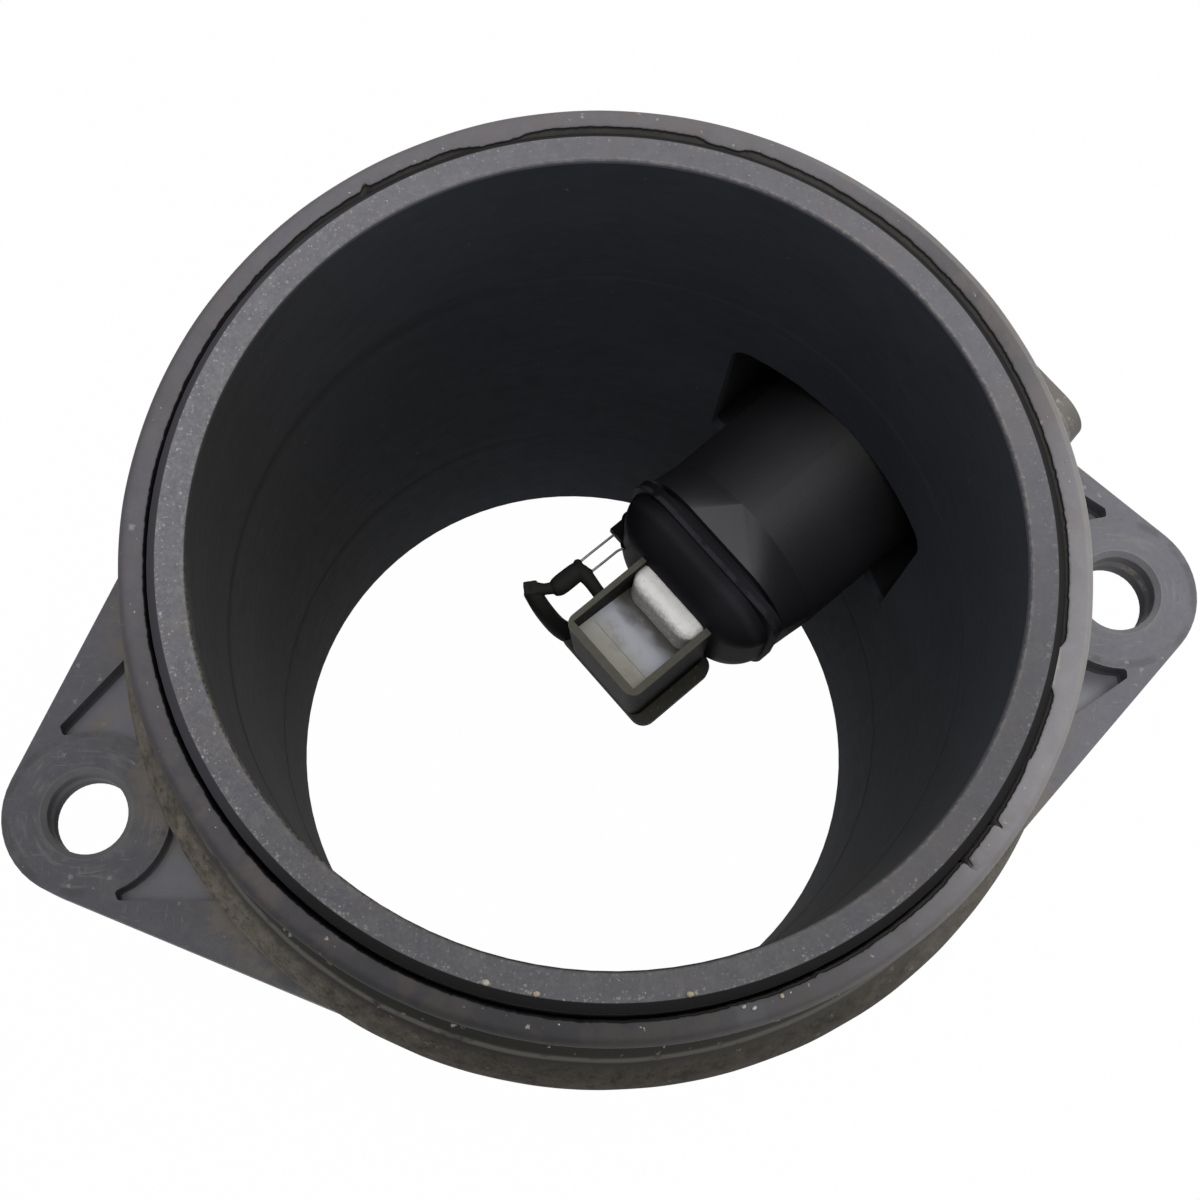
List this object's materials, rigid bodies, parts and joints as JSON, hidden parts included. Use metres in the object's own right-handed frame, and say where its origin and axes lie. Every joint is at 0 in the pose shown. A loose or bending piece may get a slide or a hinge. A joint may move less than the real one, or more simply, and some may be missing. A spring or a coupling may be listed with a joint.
{
  "type": "mass airflow sensor",
  "caption": "Mass airflow sensor: round duct with a two-ear flange, a rubber port seal and a plug-in probe that holds a heated film plate in the airflow.",
  "frame": {"origin": "centre of the duct's hose end, on the duct's axis", "axes": "+Z along the duct's axis, towards the air box end; +X 3.5 degrees short of the right flange hole"},
  "size_m": [0.0993, 0.09, 0.0782],
  "materials": {
    "duct_plastic": "moulded, scuffed",
    "probe_plastic": "moulded, satin",
    "port_rubber": "worn, dusty",
    "ring_rubber": "smooth",
    "channel_plastic": "moulded, dusty",
    "bead_plastic": "glossy",
    "lead_metal": "drawn wire",
    "pad_compound": "cured gel",
    "plate_ceramic": "glazed",
    "film_metal": "thin film",
    "strip_metal": "stamped strip",
    "board_laminate": "laminate",
    "chip_plastic": "moulded",
    "terminal_metal": "plated",
    "cover_compound": "cured bead",
    "screw_steel": "plated"
  },
  "bodies": {
    "root": {"duct_housing": "duct_plastic", "port_seal": "port_rubber", "sensor_body": "probe_plastic", "body_seal_ring": "ring_rubber", "probe_nose": "probe_plastic", "channel_frame": "channel_plastic", "bead_guard": "bead_plastic", "temperature_bead": "bead_plastic", "bead_lead_upper": "lead_metal", "bead_lead_lower": "lead_metal", "sealing_pad": "pad_compound", "film_plate": "plate_ceramic", "heater_film": "film_metal", "element_leads": "strip_metal", "circuit_board": "board_laminate", "signal_chip": "chip_plastic", "board_components": "chip_plastic", "connector_pins": "terminal_metal", "pin_links": "terminal_metal", "cover_seal_bead": "cover_compound", "electronics_cover": "probe_plastic", "fixing_screws": "screw_steel"}
  },
  "joints": []
}
